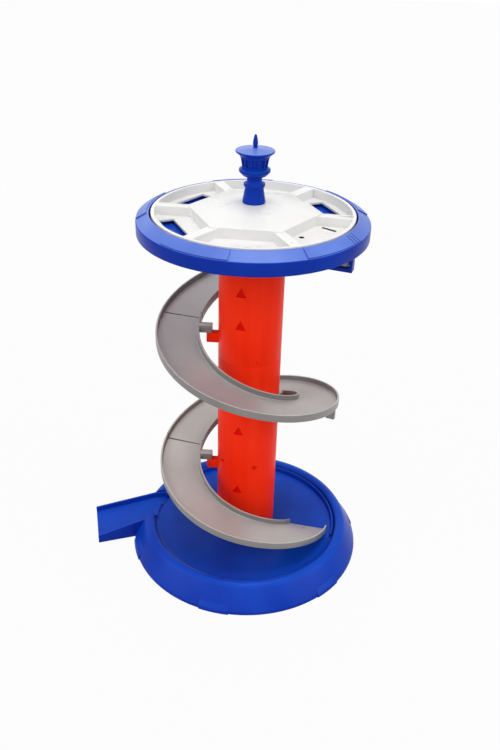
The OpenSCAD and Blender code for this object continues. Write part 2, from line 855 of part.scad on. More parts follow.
// Cuts for a window that a flap closes: the slit at one end and the finger hole at the other
module flap_cuts() {
    translate([-window_w / 2 - flap_slit_in, window_l / 2 - flap_slit, 0])
        cube([window_w, flap_slit, tray_wall + 2 * over]);
    translate([-flap_hole_in, -flap_hole_side, 0]) cylinder(r = flap_hole_r, h = tray_wall + 2 * over);
}

module tray() {
    color(white) difference() {
        union() {
            translate([0, 0, tray_under_z]) cylinder(r = tray_r - tray_rim_w / 2, h = tray_wall, $fn = 128);
            translate([0, 0, tray_under_z]) difference() {
                cylinder(r = tray_r, h = tray_wall + tray_rim_h, $fn = 128);
                translate([0, 0, -over]) cylinder(r = tray_r - tray_rim_w, h = 4 * tray_rim_h, $fn = 128);
            }
            rotate([0, 0, table_heading]) {
                table_solid(0, tray_under_z, 0);
                for (i = [0 : 5]) rotate([0, 0, i * 60])
                    translate([table_r - divider_w, -divider_w / 2, tray_under_z])
                        cube([tray_r - tray_rim_w / 2 - table_r + divider_w, divider_w, tray_wall + tray_rim_h]);
            }
        }
        difference() {
            rotate([0, 0, table_heading]) translate([0, 0, -over]) table_solid(tray_wall, tray_under_z, tray_wall - over);
            translate([0, 0, hub_foot_z]) cylinder(r = hub_r, h = table_top_z);
        }
        rotate([0, 0, table_heading]) for (i = [0 : 5]) {
            rotate([0, 0, i * 60])
                translate([table_r, -divider_w / 2 + tray_wall, tray_under_z - over])
                    cube([tray_r - tray_rim_w - table_r - tray_wall, divider_w - 2 * tray_wall, tray_rim_h + over]);
            rotate([0, 0, i * 60 + 30]) translate([window_mid, 0, tray_under_z - over])
                if (i == flap_bay) flap_cuts(); else bay_window();
        }
        translate([0, 0, hub_foot_z - over]) cylinder(r = shaft_r + slip, h = table_top_z);
        for (x = [-key_at_r, key_at_r])
            translate([x, 0, table_top_z - key_l - slip]) cylinder(r = key_r + slip, h = key_l + over);
    }
}

// Stem of the knob: shaft, flared foot, ring, neck and balcony, with a peg for the cab
module tower_stem() {
    neck_r = 6.8;
    foot_top_r = 8.2;
    foot_edge_h = 1.2;
    ring_r = 9.7;
    ring_low = stem_h - 16.8;
    ring_high = stem_h - 13.2;
    ring_edge = 0.4;
    neck_low = stem_h - 12;
    neck_high = stem_h - 7.2;
    balcony_foot_r = balcony_r - 3.4;
    balcony_low = stem_h - 3.2;
    balcony_high = stem_h - 1;
    sill_r = cab_foot_r + 0.8;
    color(blue) difference() {
        union() {
            translate([0, 0, table_top_z]) rotate_extrude() polygon([
                [0, 0],
                [stem_foot_r, 0],
                [stem_foot_r, foot_edge_h],
                [foot_top_r, ring_low],
                [ring_r, ring_low + ring_edge],
                [ring_r, ring_high - ring_edge],
                [foot_top_r, ring_high],
                [neck_r, neck_low],
                [neck_r, neck_high],
                [balcony_foot_r, neck_high + 0.5],
                [balcony_r, balcony_low],
                [balcony_r, balcony_high],
                [sill_r, stem_h - 0.2],
                [sill_r, stem_h],
                [0, stem_h]
            ]);
            translate([0, 0, shaft_foot_z]) cylinder(r = shaft_r, h = table_top_z - shaft_foot_z + over);
            translate([0, 0, cab_z - eps]) cylinder(r = cab_peg_r, h = cab_peg_h);
            for (x = [-key_at_r, key_at_r]) translate([x, 0, table_top_z - key_l]) cylinder(r = key_r, h = key_l + over);
        }
        translate([0, 0, shaft_foot_z - over]) cylinder(r = pivot_shank_r + slip / 2, h = pivot_shank_l + 2 * over);
    }
}

// Glazed cab of the control tower, with posts between its windows
module tower_cab() {
    post_w = 1.6;
    sill_h = 1.6;
    glass_in = 0.9;
    lean = atan2(cab_top_r - cab_foot_r, cab_h);
    color(blue) difference() {
        union() {
            translate([0, 0, cab_z]) rotate_extrude() polygon([
                [0, 0],
                [cab_foot_r, 0],
                [cab_foot_r + sill_h * tan(lean), sill_h],
                [cab_foot_r + sill_h * tan(lean) - glass_in, sill_h],
                [cab_top_r - sill_h * tan(lean) - glass_in, cab_h - sill_h],
                [cab_top_r - sill_h * tan(lean), cab_h - sill_h],
                [cab_top_r, cab_h],
                [0, cab_h]
            ]);
            for (i = [0 : cab_posts - 1]) rotate([0, 0, (i + 0.5) * turn / cab_posts])
                translate([cab_foot_r, 0, cab_z + sill_h / 2]) rotate([0, lean, 0])
                    translate([-2.4, -post_w / 2, 0]) cube([2.4, post_w, cab_h - sill_h]);
        }
        translate([0, 0, cab_z - over]) cylinder(r = cab_peg_r + slip, h = cab_peg_h + over + slip);
    }
}

// Thin saucer roof with a spindle spire
module tower_roof() {
    eave_h = 4.7;
    spire_r = 2.4;
    color(blue) translate([0, 0, roof_z]) rotate_extrude() polygon([
        [0, 0],
        [cab_top_r + 0.4, 0],
        [cab_top_r + 0.8, 0.9],
        [roof_r, eave_h - 1.2],
        [roof_r, eave_h],
        [roof_r - 0.8, eave_h + 0.3],
        [spire_r, eave_h + 2],
        [spire_r * 0.6, eave_h + 2.8],
        [spire_r * 0.7, eave_h + 3.8],
        [spire_r, eave_h + 6.2],
        [spire_r * 0.8, eave_h + 8.4],
        [0.3, roof_h],
        [0, roof_h]
    ]);
}

module pivot_washer() {
    color(steel) translate([0, 0, shaft_foot_z - washer_t]) difference() {
        cylinder(r = washer_r, h = washer_t);
        translate([0, 0, -over]) cylinder(r = pivot_shank_r + slip, h = washer_t + 2 * over);
    }
}

module pivot_screw() {
    color(steel) translate([0, 0, shaft_foot_z - washer_t]) mirror([0, 0, 1])
        screw(pivot_shank_r, washer_t + pivot_shank_l, pivot_head_r, pivot_head_h);
}

base_shell();
exit_chute();
base_screws();
column_lower_front();
column_lower_back();
column_upper_front();
column_upper_back();
column_screws();
upper_ramp();
middle_ramp();
lower_ramp();
ramp_end_screw();
deck();
deck_screws();
ramp_hanger();
hanger_screws();
tray();
tower_stem();
tower_cab();
tower_roof();
pivot_washer();
pivot_screw();
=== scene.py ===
import bmesh
import bpy
from math import atan2, ceil, cos, hypot, radians, sin, tau
from mathutils import Matrix, Vector


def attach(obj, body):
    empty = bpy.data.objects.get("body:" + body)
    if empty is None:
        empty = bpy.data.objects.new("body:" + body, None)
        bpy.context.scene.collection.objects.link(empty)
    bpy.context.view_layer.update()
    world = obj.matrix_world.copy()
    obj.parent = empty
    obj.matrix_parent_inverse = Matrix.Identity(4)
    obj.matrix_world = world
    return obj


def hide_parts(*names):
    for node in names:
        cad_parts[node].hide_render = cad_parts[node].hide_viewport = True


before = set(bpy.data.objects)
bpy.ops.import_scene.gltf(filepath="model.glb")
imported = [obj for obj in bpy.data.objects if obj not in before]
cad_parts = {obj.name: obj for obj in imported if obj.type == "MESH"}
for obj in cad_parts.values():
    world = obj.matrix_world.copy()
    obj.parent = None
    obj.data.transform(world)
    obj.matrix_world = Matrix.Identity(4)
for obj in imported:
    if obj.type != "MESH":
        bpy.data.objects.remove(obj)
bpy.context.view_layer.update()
scene = bpy.context.scene
mm = 0.001
zAxis = Vector((0, 0, 1))
print("frame loaded:", len(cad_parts), "nodes")


# Shader maths: one wrapped socket, with operators for values and one method for every other node
class Shade:
    def __init__(self, tree, socket=None):
        self.tree = tree
        self.socket = socket

    def node(self, kind, settings=None, inputs=None, out=0):
        made = self.tree.nodes.new(kind)
        for key, value in (settings or {}).items():
            if key == "stops":
                for element, (place, level) in zip(made.color_ramp.elements, value):
                    element.position = place
                    element.color = (level, level, level, 1)
            else:
                setattr(made, key, value)
        for key, value in (inputs or {}).items():
            if isinstance(value, Shade):
                self.tree.links.new(value.socket, made.inputs[key])
            else:
                made.inputs[key].default_value = value
        return Shade(self.tree, made.outputs[out])

    def math(self, operation, first, second):
        return self.node("ShaderNodeMath", {"operation": operation}, {0: first, 1: second})

    def __add__(self, other):
        return self.math("ADD", self, other)

    def __radd__(self, other):
        return self.math("ADD", other, self)

    def __sub__(self, other):
        return self.math("SUBTRACT", self, other)

    def __rmul__(self, other):
        return self.math("MULTIPLY", other, self)

    def feed(self, node, key):
        self.tree.links.new(self.socket, node.inputs[key])


def mixColour(shade, mask, first, second):
    inputs = {0: mask, 6: first, 7: second}
    return shade.node("ShaderNodeMix", {"data_type": "RGBA"}, inputs, out=2)


def tint(colour, share):
    return (share[0] * colour[0], share[1] * colour[1], share[2] * colour[2], 1)


def noise(shade, place, scale, detail):
    return shade.node("ShaderNodeTexNoise", None, {"Vector": place, "Scale": scale, "Detail": detail})


# Moulded plastic: flow streaks and a slow drift in the colour, handling marks in the gloss, a fine grain in
# the bump and, where a share is given for the sides, painted shade: sides darker than the faces that look up
def mouldedPlastic(name, look):
    material = bpy.data.materials.new(name)
    material.use_nodes = True
    tree = material.node_tree
    shader = tree.nodes["Principled BSDF"]
    shade = Shade(tree)
    place = shade.node("ShaderNodeTexCoord", out="Object")
    flow = shade.node("ShaderNodeMapping", None, {"Vector": place, "Scale": look["flowScale"]})
    streak = noise(shade, flow, 1.0, 4.0)
    drift = noise(shade, place, look["driftScale"], 2.0)
    ramp = {"stops": ((0.35, 0), (0.65, 1))}
    mask = shade.node("ShaderNodeValToRGB", ramp, {0: 0.5 * streak + 0.5 * drift})
    colour = mixColour(shade, mask, look["deep"], look["light"])
    # Painted shade: faces that don't look up get a darker copy of the colour, as if lit less from above
    if look["sideShadeShare"]:
        deep, light = (tint(look[key], look["sideShadeShare"]) for key in ("deep", "light"))
        sides = mixColour(shade, mask, deep, light)
        normal = shade.node("ShaderNodeNewGeometry", out="Normal")
        pair = {0: normal, 1: zAxis}
        rise = shade.node("ShaderNodeVectorMath", {"operation": "DOT_PRODUCT"}, pair, out="Value")
        paintedLightMask = shade.node("ShaderNodeMapRange", {"interpolation_type": "SMOOTHSTEP"},
                             {"Value": rise, "From Min": look["sideShadeFrom"], "From Max": look["sideShadeTo"]})
        colour = mixColour(shade, paintedLightMask, sides, colour)
    colour.feed(shader, "Base Color")
    rub = noise(shade, place, look["rubScale"], 6.0)
    (look["roughness"] + look["rub"] * (rub - 0.5)).feed(shader, "Roughness")
    grain = noise(shade, place, look["grainScale"], 2.0)
    bumpInputs = {"Strength": look["grain"], "Distance": 0.0004, "Height": grain}
    shade.node("ShaderNodeBump", None, bumpInputs).feed(shader, "Normal")
    shader.inputs["IOR"].default_value = 1.5
    shader.inputs["Specular IOR Level"].default_value = look["specular"]
    return material


blueLook = {
    "deep": (0.004, 0.042, 0.40, 1), "light": (0.006, 0.064, 0.50, 1),
    "flowScale": (30, 30, 12), "driftScale": 9.0,
    "roughness": 0.30, "rub": 0.07, "rubScale": 70.0, "grain": 0.08, "grainScale": 1400.0,
    # Side share and its range: painted shade on the faces that don't look up
    "specular": 0.08, "sideShadeShare": (0.5, 0.52, 0.72), "sideShadeFrom": 0.2, "sideShadeTo": 0.9,
}
redLook = {
    "deep": (0.88, 0.018, 0.002, 1), "light": (0.96, 0.034, 0.007, 1),
    "flowScale": (90, 90, 5), "driftScale": 12.0,
    "roughness": 0.34, "rub": 0.08, "rubScale": 80.0, "grain": 0.08, "grainScale": 1500.0,
    "specular": 0.06, "sideShadeShare": None,
}
greyLook = {
    "deep": (0.42, 0.395, 0.38, 1), "light": (0.49, 0.465, 0.45, 1),
    "flowScale": (40, 40, 40), "driftScale": 14.0,
    "roughness": 0.34, "rub": 0.10, "rubScale": 110.0, "grain": 0.22, "grainScale": 1900.0,
    # Side share and its range: painted shade, the lane's walls darker than its floor and wall tops
    "specular": 0.9, "sideShadeShare": (0.38, 0.38, 0.38), "sideShadeFrom": 0.45, "sideShadeTo": 0.8,
}
whiteLook = {
    "deep": (0.71, 0.705, 0.69, 1), "light": (0.75, 0.745, 0.735, 1),
    "flowScale": (25, 25, 25), "driftScale": 10.0,
    "roughness": 0.28, "rub": 0.05, "rubScale": 60.0, "grain": 0.01, "grainScale": 1300.0,
    "specular": 0.2, "sideShadeShare": None,
}
# Paler, glossier copy of the blue: a painted sheen for the deck's bevel and the roof's top
paintedSheenLook = {**blueLook, "deep": (0.075, 0.14, 0.50, 1), "light": (0.110, 0.195, 0.60, 1),
              "specular": 0.15, "sideShadeShare": None}
# Near-black copy of the white: painted shade for the tray's gap and finger hole
recessShadeLook = {**whiteLook, "deep": (0.03, 0.03, 0.032, 1), "light": (0.07, 0.068, 0.066, 1)}
arrowLook = {**redLook, "deep": (0.66, 0.003, 0.0005, 1), "light": (0.74, 0.005, 0.001, 1), "specular": 0.04}
bluePlastic = mouldedPlastic("bluePlastic", blueLook)
redPlastic = mouldedPlastic("redPlastic", redLook)
arrowRed = mouldedPlastic("arrowRed", arrowLook)
paintedSheenBlue = mouldedPlastic("paintedSheenBlue", paintedSheenLook)
greyPlastic = mouldedPlastic("greyPlastic", greyLook)
whitePlastic = mouldedPlastic("whitePlastic", whiteLook)
recessShadeWhite = mouldedPlastic("recessShadeWhite", recessShadeLook)


# Plated steel for the screws: brushed bands in the gloss and a slightly mottled plating
steelLook = {
    "dark": (0.26, 0.26, 0.27, 1), "pale": (0.40, 0.39, 0.38, 1), "mottleScale": 420.0,
    "brushScale": 1600.0, "roughness": 0.32, "brushed": 0.25, "grain": 0.1,
}


def platedSteel():
    material = bpy.data.materials.new("platedSteel")
    material.use_nodes = True
    tree = material.node_tree
    shader = tree.nodes["Principled BSDF"]
    shade = Shade(tree)
    place = shade.node("ShaderNodeTexCoord", out="Object")
    mottle = noise(shade, place, steelLook["mottleScale"], 4.0)
    mixColour(shade, mottle, steelLook["dark"], steelLook["pale"]).feed(shader, "Base Color")
    brush = noise(shade, place, steelLook["brushScale"], 2.0)
    (steelLook["roughness"] + steelLook["brushed"] * brush).feed(shader, "Roughness")
    bumpInputs = {"Strength": steelLook["grain"], "Distance": 0.0002, "Height": brush}
    shade.node("ShaderNodeBump", None, bumpInputs).feed(shader, "Normal")
    shader.inputs["Metallic"].default_value = 1.0
    return material


steel = platedSteel()
print("materials ready")


# Puts several bmeshes into one
def joined(parts):
    whole = bmesh.new()
    for part in parts:
        mesh = bpy.data.meshes.new("part")
        part.to_mesh(mesh)
        part.free()
        whole.from_mesh(mesh)
        bpy.data.meshes.remove(mesh)
    return whole


# Turns one or more bmeshes into a named piece that stands for its CAD nodes
def makePiece(name, parts, body, materials, nodes, sharpAngle=32):
    mesh = bpy.data.meshes.new(name)
    whole = joined(parts)
    whole.to_mesh(mesh)
    whole.free()
    mesh.shade_smooth()
    mesh.set_sharp_from_angle(angle=radians(sharpAngle))
    for material in materials:
        mesh.materials.append(material)
    piece = bpy.data.objects.new(name, mesh)
    scene.collection.objects.link(piece)
    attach(piece, body)
    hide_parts(*nodes)
    print("piece", name, len(mesh.polygons), "faces")


# Closed outline in the X-Z plane; each corner is x, z and how far it is rounded, in millimetres
def outline(corners, segments=4):
    bm = bmesh.new()
    verts = [bm.verts.new((x * mm, 0, z * mm)) for x, z, soft in corners]
    bm.faces.new(verts)
    for soft in sorted({corner[2] for corner in corners if corner[2]}):
        picked = [vert for vert, corner in zip(verts, corners) if corner[2] == soft]
        bmesh.ops.bevel(bm, geom=picked, offset=soft * mm, segments=segments, profile=0.5,
                        affect="VERTICES", material=-1, clamp_overlap=True)
    bmesh.ops.delete(bm, geom=bm.faces[:], context="FACES_ONLY")
    return bm


def closeUp(bm):
    bmesh.ops.remove_doubles(bm, verts=bm.verts[:], dist=0.001 * mm)
    bmesh.ops.dissolve_degenerate(bm, edges=bm.edges[:], dist=0.001 * mm)
    bmesh.ops.delete(bm, geom=[edge for edge in bm.edges if edge.is_wire], context="EDGES")
    loose = [edge for edge in bm.edges if edge.is_boundary]
    if loose:
        bmesh.ops.holes_fill(bm, edges=loose, sides=0)
    bmesh.ops.recalc_face_normals(bm, faces=bm.faces[:])
    return bm


def turnTo(bm, heading):
    turn = Matrix.Rotation(radians(heading), 3, "Z")
    bmesh.ops.rotate(bm, verts=bm.verts[:], cent=(0, 0, 0), matrix=turn)


# Step outwards from the column axis, in metres
def outward(heading, distance):
    return Vector((cos(radians(heading)), sin(radians(heading)), 0)) * distance * mm


# Outline turned about the column axis, all the way round or from one heading to another
def turned(corners, steps=128, fromHeading=None, toHeading=None, segments=4):
    bm = outline(corners, segments)
    full = fromHeading is None
    angle = tau if full else radians(toHeading - fromHeading)
    if not full:
        turnTo(bm, fromHeading)
    bmesh.ops.spin(bm, geom=bm.verts[:] + bm.edges[:], cent=(0, 0, 0), axis=zAxis, angle=angle,
                   steps=steps, use_merge=full)
    return closeUp(bm)


# Box from its low corner and size in millimetres, with rounded edges, turned to a heading
def roundedBox(low, size, soft, heading=0):
    bm = bmesh.new()
    bmesh.ops.create_cube(bm, size=1)
    bmesh.ops.scale(bm, vec=Vector(size) * mm, verts=bm.verts[:])
    bmesh.ops.translate(bm, vec=(Vector(low) + Vector(size) / 2) * mm, verts=bm.verts[:])
    bmesh.ops.bevel(bm, geom=bm.edges[:], offset=soft * mm, segments=3, profile=0.5,
                    affect="EDGES", material=-1, clamp_overlap=True)
    turnTo(bm, heading)
    return bm


# Moves a bmesh to a spot in millimetres and turns it to a heading, upside down if need be
def placed(bm, spot, heading=0, down=False):
    turn = Matrix.Rotation(radians(heading), 4, "Z")
    flip = Matrix.Rotation(radians(180 if down else 0), 4, "X")
    matrix = turn @ Matrix.Translation(Vector(spot) * mm) @ flip
    bmesh.ops.transform(bm, matrix=matrix, verts=bm.verts[:])
    return bm


# Breaks the hard edges of a bmesh, as a moulding's are
def eased(bm, soft, segments=2, edgeAngle=35):
    hard = [edge for edge in bm.edges if edge.is_manifold and edge.calc_face_angle(0) > radians(edgeAngle)]
    bmesh.ops.bevel(bm, geom=hard, offset=soft * mm, segments=segments, profile=0.5,
                    affect="EDGES", material=-1, clamp_overlap=True)
    return bm


# Copy of a CAD node with its edges broken
def softened(node, soft, segments=2):
    bm = bmesh.new()
    bm.from_mesh(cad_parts[node].data)
    bmesh.ops.remove_doubles(bm, verts=bm.verts[:], dist=0.002 * mm)
    bmesh.ops.dissolve_limit(bm, angle_limit=radians(0.4), verts=bm.verts[:], edges=bm.edges[:])
    return eased(bm, soft, segments)


# Cuts one bmesh out of another
def carved(bm, cutter):
    pair = []
    for name, source in (("body", bm), ("cutter", cutter)):
        mesh = bpy.data.meshes.new(name)
        source.to_mesh(mesh)
        source.free()
        mesh.materials.append(None)
        mesh.materials.append(None)  # the cutter's second finish carries over to the cut
        made = bpy.data.objects.new(name, mesh)
        scene.collection.objects.link(made)
        pair.append(made)
    cut = pair[0].modifiers.new("cut", "BOOLEAN")
    cut.operation = "DIFFERENCE"
    cut.object = pair[1]
    cut.solver = "EXACT"
    result = bmesh.new()
    result.from_object(pair[0], bpy.context.evaluated_depsgraph_get())
    for made in pair:
        mesh = made.data
        bpy.data.objects.remove(made)
        bpy.data.meshes.remove(mesh)
    return result


# Base: flared skirt, round crest, sunken floor with a ridge along its right and back, and a gap for the chute
base = {
    "floor": 20.0, "floorRadius": 95.5, "wall": 2.4, "crest": 28.5, "skirtRadius": 125.0, "footWidth": 6.0,
    "crestOut": 14.9, "crestIn": 6.6, "coveOut": 4.8, "coveRise": 1.2,
    "lugs": 6, "firstLug": 16.0, "lugSpan": 14.5, "lugHeight": 11.0, "lugOut": 1.0, "lugFade": 6.2,
    "ridgeSpan": (-16.0, 160.0), "ridgeDrop": 3.0,
    "ribs": 6, "ribThick": 2.0, "ribStart": 27.0, "tubeRadius": 28.9, "footPad": 22.0, "centreFoot": 6.0,
}
chute = {
    "heading": 192.6, "offset": 38.2, "endWidth": 52.0, "mouthWidth": 40.0, "reach": 165.0,
    "seamRadius": 97.5, "start": 65.5, "grow": 0.2, "lap": 3.0,
}


# Upright prism over the chute's plan, a little wider than the chute
def chutePrism(low, high):
    slope = (chute["endWidth"] - chute["mouthWidth"]) / 2 / (chute["reach"] - base["floorRadius"])
    far = chute["endWidth"] / 2 + chute["grow"]
    near = far - slope * (chute["reach"] - chute["start"])
    bm = bmesh.new()
    plan = ((chute["start"], -near), (chute["reach"], -far), (chute["reach"], far), (chute["start"], near))
    ground = bm.faces.new([bm.verts.new((x * mm, (y - chute["offset"]) * mm, low * mm)) for x, y in plan])
    raised = bmesh.ops.extrude_face_region(bm, geom=[ground])["geom"]
    top = [item for item in raised if isinstance(item, bmesh.types.BMVert)]
    bmesh.ops.translate(bm, vec=(0, 0, (high - low) * mm), verts=top)
    bmesh.ops.recalc_face_normals(bm, faces=bm.faces[:])
    turnTo(bm, chute["heading"])
    return bm


def upright(radius, low, high, steps=96):
    return turned(((0, low, 0), (radius, low, 0), (radius, high, 0), (0, high, 0)), steps)


def buildBase():
    floorZ, floorR, wall, crest = base["floor"], base["floorRadius"], base["wall"], base["crest"]
    skirt = base["skirtRadius"]
    shell = turned((
        (skirt - base["footWidth"], 0, 0.4), (skirt, 0, 0.5), (skirt - 0.4, 3, 1.2),
        (floorR + base["crestOut"], crest, 4.6), (floorR + base["crestIn"], crest, 3.6),
        (floorR + base["coveOut"], floorZ + base["coveRise"], 2.6),
        (floorR, floorZ, 1.2), (0, floorZ, 0), (0, floorZ - wall, 0),
        (floorR + base["crestIn"], floorZ - wall + 0.6, 0), (floorR + 9, crest - 2.6, 0),
        (floorR + 13.4, crest - 3.2, 1.5), (skirt - 2.8, 3, 0), (skirt - base["footWidth"], wall, 0),
    ), 180)
    mouth = carved(chutePrism(-2, 60), upright(chute["seamRadius"], -4, 70))
    sill = carved(chutePrism(floorZ - 0.3, 60), upright(floorR - chute["lap"], -4, 70))
    shell = carved(carved(shell, mouth), sill)
    ridge = ((floorR + 0.8, floorZ - 0.8, 0), (floorR + 2.4, crest - base["ridgeDrop"], 0.7),
             (floorR + 4.0, crest - base["ridgeDrop"], 0.5), (floorR + 4.6, floorZ - 0.8, 0))
    parts = [shell, eased(turned(ridge, 96, *base["ridgeSpan"]), 0.5, 3, 60)]
    for i in range(base["lugs"]):
        mid = base["firstLug"] + i * 360 / base["lugs"]
        outer, high = skirt + base["lugOut"], base["lugHeight"]
        faded = outer - base["lugFade"]
        lug = ((outer - 5, 0, 0), (outer, 0, 0.4), (outer - 0.3, 3, 1.6),
               (faded, high, 0.4), (faded - 2, high, 0))
        span = (mid - base["lugSpan"] / 2, mid + base["lugSpan"] / 2)
        parts.append(eased(turned(lug, 10, *span), 0.7, 3, 60))
    for i in range(base["ribs"]):
        size = (floorR - base["ribStart"], base["ribThick"], floorZ * 2 / 3 - 1.2)
        low = (base["ribStart"], -base["ribThick"] / 2, floorZ / 3)
        parts.append(roundedBox(low, size, 0.3, i * 360 / base["ribs"]))
    tube = base["tubeRadius"]
    parts.append(turned((
        (tube - wall, 0, 0.3), (tube, 0, 0.3), (tube, base["footPad"], 0.6), (0, base["footPad"], 0),
        (0, floorZ - wall, 0), (tube - wall, floorZ - wall, 0.5),
    ), 96))
    parts.append(turned(((0, 0, 0), (base["centreFoot"], 0, 0.5), (base["centreFoot"], floorZ - 1, 0),
                         (0, floorZ - 1, 0)), 48))
    makePiece("baseMoulding", parts, "frame", [bluePlastic], ["base_shell"])


buildBase()

# Seam in the chute's floor where it hooks into the base
seam = {"inner": 98.2, "outer": 99.8, "depth": 1.8, "top": 30.0, "span": (167.0, 191.0)}


def buildChute():
    low = base["floor"] - seam["depth"]
    groove = turned((
        (seam["inner"], low, 0.4), (seam["outer"], low, 0.4), (seam["outer"], seam["top"], 0),
        (seam["inner"], seam["top"], 0),
    ), 24, *seam["span"])
    body = carved(softened("exit_chute", 0.5), groove)
    makePiece("exitChute", [body], "frame", [bluePlastic], ["exit_chute"])


buildChute()
makePiece("rampHanger", [softened("ramp_hanger", 0.4)], "frame", [bluePlastic], ["ramp_hanger"])


# Helical lane: its floor falls by one pitch a turn, swings a little and dips at the lower end
lane = {
    "innerRadius": 50.0, "width": 43.0, "pitch": 155.0, "floor": 2.0, "wall": 2.0, "wallHeight": 6.0,
    "start": -26.0, "joint": 164.0, "end": 708.0, "endHeight": 25.0,
    "swing": 1.75, "swingHeading": 273.0, "dip": 10.5, "dipSpan": 85.0, "step": 2.0, "gap": 1.0,
    "footInset": 6.0,
}
laneJoints = (lane["joint"], lane["joint"] + 360)


def laneHeight(angle):
    fall = (lane["end"] - angle) * lane["pitch"] / 360
    swing = sin(radians(angle - lane["swingHeading"])) - sin(radians(lane["end"] - lane["swingHeading"]))
    dipped = max(0, (angle - lane["end"] + lane["dipSpan"]) / lane["dipSpan"]) ** 2
    return lane["endHeight"] + fall + lane["swing"] * swing + lane["dip"] * (1 - dipped)


# Sweeps an outline down the helix, ring by ring
def helixSweep(corners, fromAngle, toAngle):
    bm = outline(corners)
    ring = bm.edges[:]
    steps = ceil((toAngle - fromAngle) / lane["step"])
    turnTo(bm, fromAngle)
    bmesh.ops.translate(bm, vec=(0, 0, laneHeight(fromAngle) * mm), verts=bm.verts[:])
    for i in range(steps):
        before = fromAngle + (toAngle - fromAngle) * i / steps
        after = fromAngle + (toAngle - fromAngle) * (i + 1) / steps
        grown = bmesh.ops.extrude_edge_only(bm, edges=ring)["geom"]
        ring = [item for item in grown if isinstance(item, bmesh.types.BMEdge)]
        verts = [item for item in grown if isinstance(item, bmesh.types.BMVert)]
        turn = Matrix.Rotation(radians(after - before), 3, "Z")
        bmesh.ops.rotate(bm, verts=verts, cent=(0, 0, 0), matrix=turn)
        bmesh.ops.translate(bm, vec=(0, 0, (laneHeight(after) - laneHeight(before)) * mm), verts=verts)
    return closeUp(bm)


def laneSection():
    inner, outer = lane["innerRadius"], lane["innerRadius"] + lane["width"]
    wall, high = lane["wall"], lane["wallHeight"]
    return (
        (inner, -lane["floor"], 0.5), (outer, -lane["floor"], 0.5), (outer, high, 0.7),
        (outer - wall, high, 0.7), (outer - wall, 0, 0.8), (inner + wall, 0, 0.8),
        (inner + wall, high, 0.7), (inner, high, 0.7),
    )


support = {
    "left": 177.0, "right": 45.0, "tabInner": 37.5, "tabWidth": 8.0,
    "pinRadius": 2.0, "pinLength": 5.5, "pinAt": 40.25, "slip": 0.1,
}
tongue = {"length": 7.0, "root": 4.0, "thick": 1.9, "gap": 0.2, "inset": 8.0}


# Tab on the inner wall with the pin that drops into the column's stub
def laneTab(angle):
    foot = laneHeight(angle) - lane["floor"]
    reach = lane["innerRadius"] - support["tabInner"] + 1
    size = (reach, support["tabWidth"], lane["floor"] + lane["wallHeight"])
    block = roundedBox((support["tabInner"], -support["tabWidth"] / 2, foot), size, 0.5, angle)
    pin = upright(support["pinRadius"], foot - support["pinLength"], foot + 1, 24)
    bmesh.ops.translate(pin, vec=outward(angle, support["pinAt"]), verts=pin.verts[:])
    return [block, pin]


# Tongue that slides under the lane piece before it
def laneTongue(angle):
    inner = lane["innerRadius"] + tongue["inset"]
    outer = lane["innerRadius"] + lane["width"] - tongue["inset"]
    top = -lane["floor"] - tongue["gap"]
    low = top - tongue["thick"]
    strip = ((inner, low, 0.3), (outer, low, 0.3), (outer, top, 0.3), (inner, top, 0.3))
    root = ((inner + 1, top - 1, 0), (outer - 1, top - 1, 0), (outer - 1, -1, 0), (inner + 1, -1, 0))
    return [helixSweep(strip, angle - tongue["length"], angle + tongue["root"]),
            helixSweep(root, angle + 0.4, angle + tongue["root"] - 0.4)]


endScrew = {
    "back": 9.5, "radius": 70.5, "headRadius": 2.5, "headHeight": 1.4, "sunk": 0.6,
    "holeRadius": 1.5, "length": 6.0,
}
clip = {"back": 369.0, "width": 9.0, "span": 4.0, "height": 10.0}


def endScrewPlace():
    angle = lane["end"] - endScrew["back"]
    return outward(angle, endScrew["radius"]) / mm + zAxis * laneHeight(angle)


def buildLane():
    first, second = laneJoints
    upper = [helixSweep(laneSection(), lane["start"], first - lane["gap"])] + laneTab(support["right"])
    makePiece("upperLane", upper, "frame", [greyPlastic], ["upper_ramp"])

    middle = [helixSweep(laneSection(), first, second - lane["gap"])] + laneTongue(first)
    middle += laneTab(support["left"]) + laneTab(support["right"] + 360)
    clipAngle = lane["end"] - clip["back"]
    outer = lane["innerRadius"] + lane["width"]
    clipFoot = laneHeight(clipAngle) - lane["floor"] - clip["height"]
    middle.append(roundedBox((outer - clip["width"], -clip["span"] / 2, clipFoot),
                             (clip["width"] - 0.1, clip["span"], clip["height"] + 1), 0.4, clipAngle))
    makePiece("middleLane", middle, "frame", [greyPlastic], ["middle_ramp"])

    place = endScrewPlace()
    hole = upright(endScrew["holeRadius"], -6, 6, 32)
    sink = upright(endScrew["headRadius"], -endScrew["sunk"], 6, 32)
    lowest = helixSweep(laneSection(), second, lane["end"])
    for cutter in (hole, sink):
        bmesh.ops.translate(cutter, vec=place * mm, verts=cutter.verts[:])
        lowest = carved(lowest, cutter)
    near = lane["innerRadius"] + lane["footInset"]
    far = lane["innerRadius"] + lane["width"] - lane["footInset"]
    foot = turned(((near, base["floor"], 0.4), (far, base["floor"], 0.4), (far, lane["endHeight"] - 1, 0),
                   (near, lane["endHeight"] - 1, 0)), 4, lane["end"] - 2, lane["end"] - 0.2)
    lower = [lowest, foot] + laneTongue(second) + laneTab(support["left"] + 360)
    makePiece("lowerLane", lower, "frame", [greyPlastic], ["lower_ramp"])


buildLane()


